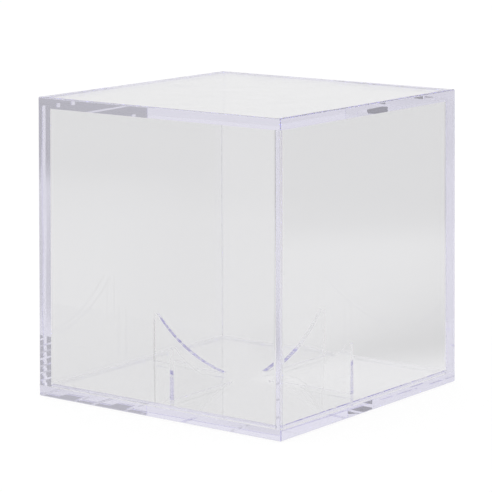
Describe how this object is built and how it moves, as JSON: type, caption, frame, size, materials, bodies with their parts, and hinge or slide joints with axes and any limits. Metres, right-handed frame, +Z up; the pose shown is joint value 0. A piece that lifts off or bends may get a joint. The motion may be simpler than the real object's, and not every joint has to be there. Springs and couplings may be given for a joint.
{
  "type": "acrylic display cube",
  "caption": "Clear acrylic display cube for a ball: a lift-off five-sided cover over a flat base plate with upright curved fins that cradle the ball.",
  "frame": {"origin": "middle of the underside of the base plate", "axes": "+Z up, the way the cover lifts off; the cube's sides face -X, +X, -Y and +Y, and one cradle fin points along each"},
  "size_m": [0.0826, 0.0826, 0.0825],
  "materials": {
    "acrylic_cover": "polished",
    "acrylic_base": "polished",
    "acrylic_fin": "polished"
  },
  "bodies": {
    "base": {"base_plate": "acrylic_base", "cradle_fin_right": "acrylic_fin", "cradle_fin_back": "acrylic_fin", "cradle_fin_left": "acrylic_fin", "cradle_fin_front": "acrylic_fin"},
    "cover": {"cover": "acrylic_cover"}
  },
  "joints": [
    {"name": "cover_lift", "type": "slide", "parent": "base", "child": "cover", "axis": [0, 0, 1], "range_m": [0, 0.09]}
  ]
}
